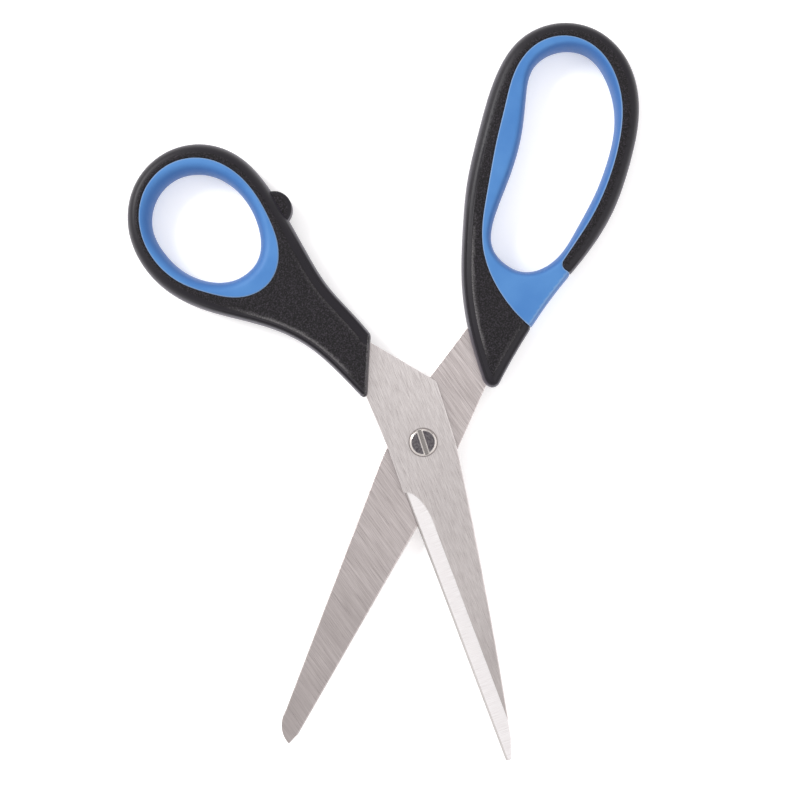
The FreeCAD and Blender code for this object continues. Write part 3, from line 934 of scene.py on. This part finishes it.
front_steel = ground_steel("stainless_steel_brushed", -90 + OPENING, -68 + TURN_DEGREES, 8 + OPENING,
                           0.09, 3.0, "#CAC2C0", "#F5EFED", "#E8E3E2")
rear_steel = ground_steel("stainless_steel_ground", -90, -54 + TURN_DEGREES, -54 + TURN_DEGREES,
                          0.13, 9.0, "#B9AFAD", "#E9E0DE", "#DCD5D2")
for blade, steel in (("front_blade", front_steel), ("rear_blade", rear_steel)):
    paint(frame["nodes"][blade], steel)
    rub_edges(blade, 0.18, 2)
print("blades painted")

# %% [markdown]
# ## Screw, nut and washer
# The screw and nut are turned steel with a nickel plate, and turning leaves rings round their axis. The flat
# top of the head is painted dark and mottled, as a painted reflection of the dim room overhead, while its
# chamfer and slot edges are painted bright as a painted highlight. The slot and the edges are told from the
# flat top by their height and slope. The washer is natural nylon, a warm cream with a faint haze.

# %% Nickel and nylon
TOOL_FEED = 0.22  # mm between turning rings, drawn coarser than a real feed of 0.1 mm so that they show
NICKEL_ROUND = 0.32 * MM


def nickel():
    material, tree, shader = new_material("nickel_plated_turned_steel")
    place = add(tree, "ShaderNodeTexCoord").outputs["Object"]
    height = add(tree, "ShaderNodeSeparateXYZ", {0: place}).outputs[2]
    rolled = add(tree, "ShaderNodeBevel", {"Radius": NICKEL_ROUND}, samples=8).outputs["Normal"]
    level = steepness(tree, 0.985, 0.998, rolled)
    top = add(tree, "ShaderNodeMath", {0: height, 1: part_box("pivot_screw")[1][2] - 0.2 * MM},
              operation="GREATER_THAN").outputs[0]
    # The flat top of the head is painted dark, as a painted reflection of the dim room overhead.
    painted_dark = add(tree, "ShaderNodeMath", {0: level, 1: top}, operation="MULTIPLY").outputs[0]
    centred = add(tree, "ShaderNodeMapping", {"Vector": place, "Location": (-PIVOT.x, -PIVOT.y, 0),
                                              "Scale": (1, 1, 0)})
    reach = add(tree, "ShaderNodeVectorMath", {0: centred.outputs[0]}, operation="LENGTH").outputs["Value"]
    around = add(tree, "ShaderNodeMath", {0: reach, 1: 1 / (TOOL_FEED * MM)}, operation="MULTIPLY")
    wave = add(tree, "ShaderNodeTexNoise", {"W": around.outputs[0], "Scale": 1.0, "Detail": 2.0},
               noise_dimensions="1D").outputs["Fac"]
    rub = add(tree, "ShaderNodeTexNoise", {"Vector": place, "Scale": 1600.0, "Detail": 4.0}).outputs["Fac"]
    spots = add(tree, "ShaderNodeMapRange", {0: rub, 1: 0.35, 2: 0.65}).outputs[0]
    face = add(tree, "ShaderNodeMix", {0: spots, 6: linear("#5A5559"), 7: linear("#7D797B")},
               data_type="RGBA").outputs[2]
    # Tilted parts, such as the chamfer and the slot's edges, are painted bright as a painted highlight;
    # level parts below the top are mid grey.
    slot = add(tree, "ShaderNodeMix", {0: level, 6: linear("#D2CCC8"), 7: linear("#9A9592")},
               data_type="RGBA").outputs[2]
    colour = add(tree, "ShaderNodeMix", {0: painted_dark, 6: slot, 7: face}, data_type="RGBA")
    rough = add(tree, "ShaderNodeMapRange", {0: wave, 1: 0.3, 2: 0.7, 3: 0.24, 4: 0.40})
    bump = add(tree, "ShaderNodeBump", {"Strength": 0.3, "Distance": 0.04 * MM, "Height": wave,
                                        "Normal": rolled})
    tree.links.new(colour.outputs[2], shader.inputs["Base Color"])
    tree.links.new(rough.outputs[0], shader.inputs["Roughness"])
    tree.links.new(bump.outputs[0], shader.inputs["Normal"])
    shader.inputs["Metallic"].default_value = 1.0
    return material


def nylon():
    material, tree, shader = new_material("natural_nylon")
    place = add(tree, "ShaderNodeTexCoord").outputs["Object"]
    haze = add(tree, "ShaderNodeTexNoise", {"Vector": place, "Scale": 400.0, "Detail": 3.0}).outputs["Fac"]
    colour = add(tree, "ShaderNodeMix", {0: haze, 6: linear("#DDD8C8"), 7: linear("#EEEADD")},
                 data_type="RGBA")
    tree.links.new(colour.outputs[2], shader.inputs["Base Color"])
    shader.inputs["Roughness"].default_value = 0.45
    shader.inputs["IOR"].default_value = 1.53
    return material


print("nickel and nylon ready")

# %% Finish the small parts
plated = nickel()
for small in ("pivot_screw", "lock_nut"):
    paint(frame["nodes"][small], plated)
    rub_edges(small, 0.15, 3)
paint(frame["nodes"]["blade_washer"], nylon())
print("small parts painted")

# %% [markdown]
# ## Floor, light and camera
# The scissors lie on a plain white sheet under soft light. A large lamp from the upper left gives the
# plastic its line of light, and the bright surroundings fill the rest, so the shadows stay faint. The room
# is brighter round the sides than overhead, which keeps level black plastic dark and lights its rims. The
# camera hangs straight above, turned a little, with a long enough lens that the tall bows lean outwards
# only slightly.

# %% Floor
def white_sheet():
    material, tree, shader = new_material("white_card")
    place = add(tree, "ShaderNodeTexCoord").outputs["Object"]
    fibres = add(tree, "ShaderNodeTexNoise", {"Vector": place, "Scale": 500.0, "Detail": 3.0}).outputs["Fac"]
    colour = add(tree, "ShaderNodeMix", {0: fibres, 6: linear("#F7F6F6"), 7: linear("#FAF9F9")},
                 data_type="RGBA")
    tree.links.new(colour.outputs[2], shader.inputs["Base Color"])
    shader.inputs["Roughness"].default_value = 0.85
    shader.inputs["Emission Color"].default_value = linear("#FFFFFF")
    shader.inputs["Emission Strength"].default_value = 0.27
    return material


FLOOR_HALF = 1.6  # metres
FLOOR_GAP = 0.02 * MM

mesh = bmesh.new()
bmesh.ops.create_grid(mesh, x_segments=4, y_segments=4, size=FLOOR_HALF)
data = bpy.data.meshes.new("floor")
mesh.to_mesh(data)
mesh.free()
floor = bpy.data.objects.new("floor", data)
SCENE.collection.objects.link(floor)
floor.location.z = CAD_BOX[0][2] - FLOOR_GAP
paint(floor, white_sheet())
print("floor laid")

# %% Room
LOW_SKY, HIGH_SKY = 1.22, 0.80  # brightness round the sides and overhead

world = bpy.data.worlds.new("bright_room")
world.use_nodes = True
tree = world.node_tree
around = add(tree, "ShaderNodeTexCoord").outputs["Generated"]
height = add(tree, "ShaderNodeSeparateXYZ", {0: around}).outputs[2]
brightness = add(tree, "ShaderNodeMapRange", {0: height, 1: 0.55, 2: 0.95,
                                               3: LOW_SKY, 4: HIGH_SKY}).outputs[0]
tree.nodes["Background"].inputs["Color"].default_value = linear("#F9F8F9")
tree.links.new(brightness, tree.nodes["Background"].inputs["Strength"])
SCENE.world = world
SCENE.view_settings.view_transform = "Standard"
print("room lit")

# %% Lamps
TURN = math.radians(TURN_DEGREES)
left = Vector((-math.cos(TURN), -math.sin(TURN), 0))
up = Vector((-math.sin(TURN), math.cos(TURN), 0))


def lamp(name, place, size, watts):
    """A soft square lamp that faces the scissors."""
    data = bpy.data.lights.new(name, "AREA")
    data.size = size
    data.energy = watts
    light = bpy.data.objects.new(name, data)
    SCENE.collection.objects.link(light)
    light.location = place
    light.rotation_euler = (-place).to_track_quat("-Z", "Y").to_euler()


lamp("window", left * 0.85 + up * 0.5 + Vector((0, 0, 0.8)), 0.5, 11.0)
lamp("fill", left * -0.9 + up * -0.3 + Vector((0, 0, 1.1)), 1.0, 3.0)
print("two lamps")

# %% Camera
CAMERA_HEIGHT = 0.40  # metres above the pivot
CAMERA_ASIDE = Vector((-0.0104, 0.0079, 0))  # from over the pivot to over the middle of the view
FIELD = 0.2176  # width of the view at the height of the blades
data = bpy.data.cameras.new("overhead")
data.sensor_width = 36.0
data.lens = data.sensor_width * CAMERA_HEIGHT / FIELD
data.clip_start = 0.01
camera = bpy.data.objects.new("overhead", data)
SCENE.collection.objects.link(camera)
camera.location = PIVOT + CAMERA_ASIDE + Vector((0, 0, CAMERA_HEIGHT))
camera.rotation_euler = (0, 0, TURN)
SCENE.camera = camera
print("lens", round(data.lens, 1), "mm")
